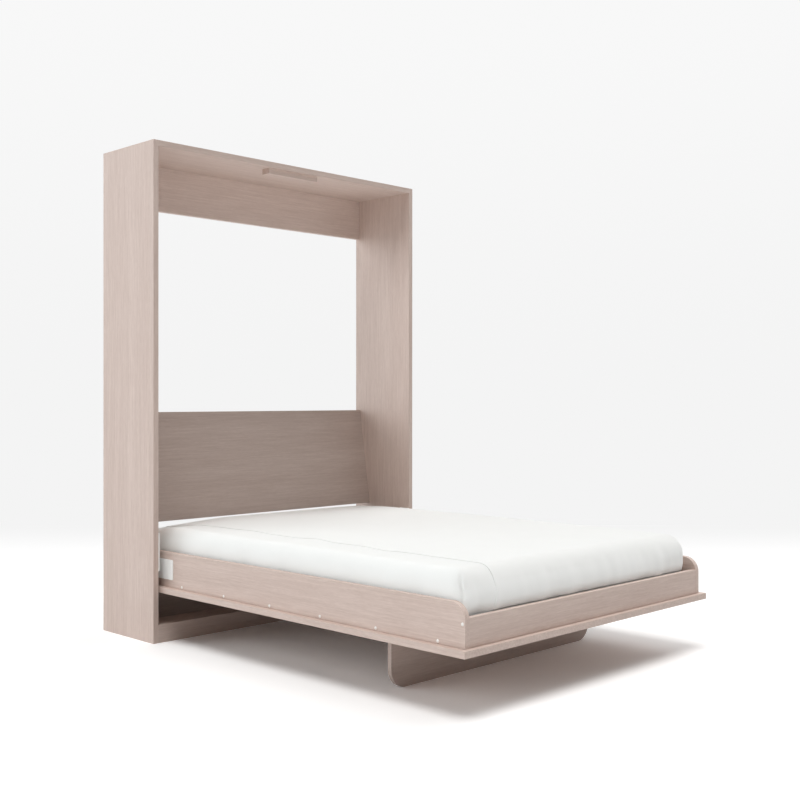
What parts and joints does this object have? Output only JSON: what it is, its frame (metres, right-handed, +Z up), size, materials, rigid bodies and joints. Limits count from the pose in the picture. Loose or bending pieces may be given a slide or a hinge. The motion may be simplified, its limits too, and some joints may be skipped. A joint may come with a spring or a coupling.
{
  "type": "murphy wall bed",
  "caption": "Open-fronted cabinet with a leaning headboard and a mattress tray that tilts down on side pivots with gas struts and stands on a folding board leg.",
  "frame": {"origin": "on the floor, in the middle of the cabinet's back plane", "axes": "+X to the right seen from the front, +Y towards the wall, +Z up; the bed opens towards -Y"},
  "size_m": [1.6, 2.1565, 2.215],
  "materials": {
    "board": "satin",
    "plain_wood": "matte",
    "mattress_cover": "matte",
    "sheet_cloth": "matte",
    "white_steel": "satin",
    "zinc_steel": "satin",
    "black_steel": "satin",
    "chromed_steel": "polished",
    "white_plastic": "satin",
    "capped_screw": "satin"
  },
  "bodies": {
    "cabinet": {"carcass_dowels": "plain_wood", "headboard": "board", "left_headboard_wedge": "board", "left_pivot_pin": "zinc_steel", "left_pivot_plate": "white_steel", "left_side_panel": "board", "lower_back_panel": "board", "pivot_plate_screws": "zinc_steel", "plinth_front": "board", "plinth_top": "board", "rear_top_rail": "board", "right_headboard_wedge": "board", "right_pivot_pin": "zinc_steel", "right_pivot_plate": "white_steel", "right_side_panel": "board", "stop_bar": "board", "strut_anchor_studs": "zinc_steel", "top_panel": "board", "wall_bracket_screws": "zinc_steel", "wall_brackets": "zinc_steel"},
    "bed": {"face_panel": "board", "left_rail": "board", "right_rail": "board", "foot_board": "board", "left_ledger": "plain_wood", "right_ledger": "plain_wood", "centre_batten": "plain_wood", "head_batten": "plain_wood", "head_stop_plate": "white_steel", "head_stop_screws": "zinc_steel", "slats": "plain_wood", "rail_screws": "capped_screw", "mattress": "mattress_cover", "top_sheet": "sheet_cloth", "left_tray_bracket": "white_steel", "right_tray_bracket": "white_steel", "tray_bracket_screws": "white_steel", "pivot_bushes": "white_plastic", "crank_studs": "zinc_steel", "hinge_panel_leaves": "zinc_steel", "hinge_panel_screws": "zinc_steel"},
    "leg": {"leg_board": "board", "hinge_leg_leaves": "zinc_steel", "hinge_pins": "zinc_steel", "hinge_leg_screws": "zinc_steel"},
    "left_strut_cylinder_body": {"left_strut_cylinder": "black_steel"},
    "right_strut_cylinder_body": {"right_strut_cylinder": "black_steel"},
    "left_strut_rod_body": {"left_strut_rod": "chromed_steel", "left_strut_socket": "zinc_steel"},
    "right_strut_rod_body": {"right_strut_rod": "chromed_steel", "right_strut_socket": "zinc_steel"}
  },
  "joints": [
    {"name": "bed_tilt", "type": "hinge", "parent": "cabinet", "child": "bed", "pos_m": [0, -0.3235, 0.3035], "axis": [-1, 0, 0], "range_deg": [0, 90]},
    {"name": "leg_fold", "type": "hinge", "parent": "bed", "child": "leg", "pos_m": [0, -1.6465, 0.212], "axis": [1, 0, 0], "range_deg": [0, 90]},
    {"name": "left_strut_swing", "type": "hinge", "parent": "cabinet", "child": "left_strut_cylinder_body", "pos_m": [-0.755, -0.048, 0.33], "axis": [1, 0, 0], "range_deg": [-0.2, 14.33]},
    {"name": "left_strut_slide", "type": "slide", "parent": "left_strut_cylinder_body", "child": "left_strut_rod_body", "axis": [0, 0.9777, -0.2101], "range_m": [-0.0005, 0.11713]},
    {"name": "right_strut_swing", "type": "hinge", "parent": "cabinet", "child": "right_strut_cylinder_body", "pos_m": [0.755, -0.048, 0.33], "axis": [1, 0, 0], "range_deg": [-0.2, 14.33]},
    {"name": "right_strut_slide", "type": "slide", "parent": "right_strut_cylinder_body", "child": "right_strut_rod_body", "axis": [0, 0.9777, -0.2101], "range_m": [-0.0005, 0.11713]}
  ],
  "couplings": [
    {"joint": "left_strut_swing", "follows": "bed_tilt", "ratio": 0.15705},
    {"joint": "left_strut_slide", "follows": "bed_tilt", "m_per_rad": 0.07425},
    {"joint": "right_strut_swing", "follows": "bed_tilt", "ratio": 0.15705},
    {"joint": "right_strut_slide", "follows": "bed_tilt", "m_per_rad": 0.07425}
  ]
}
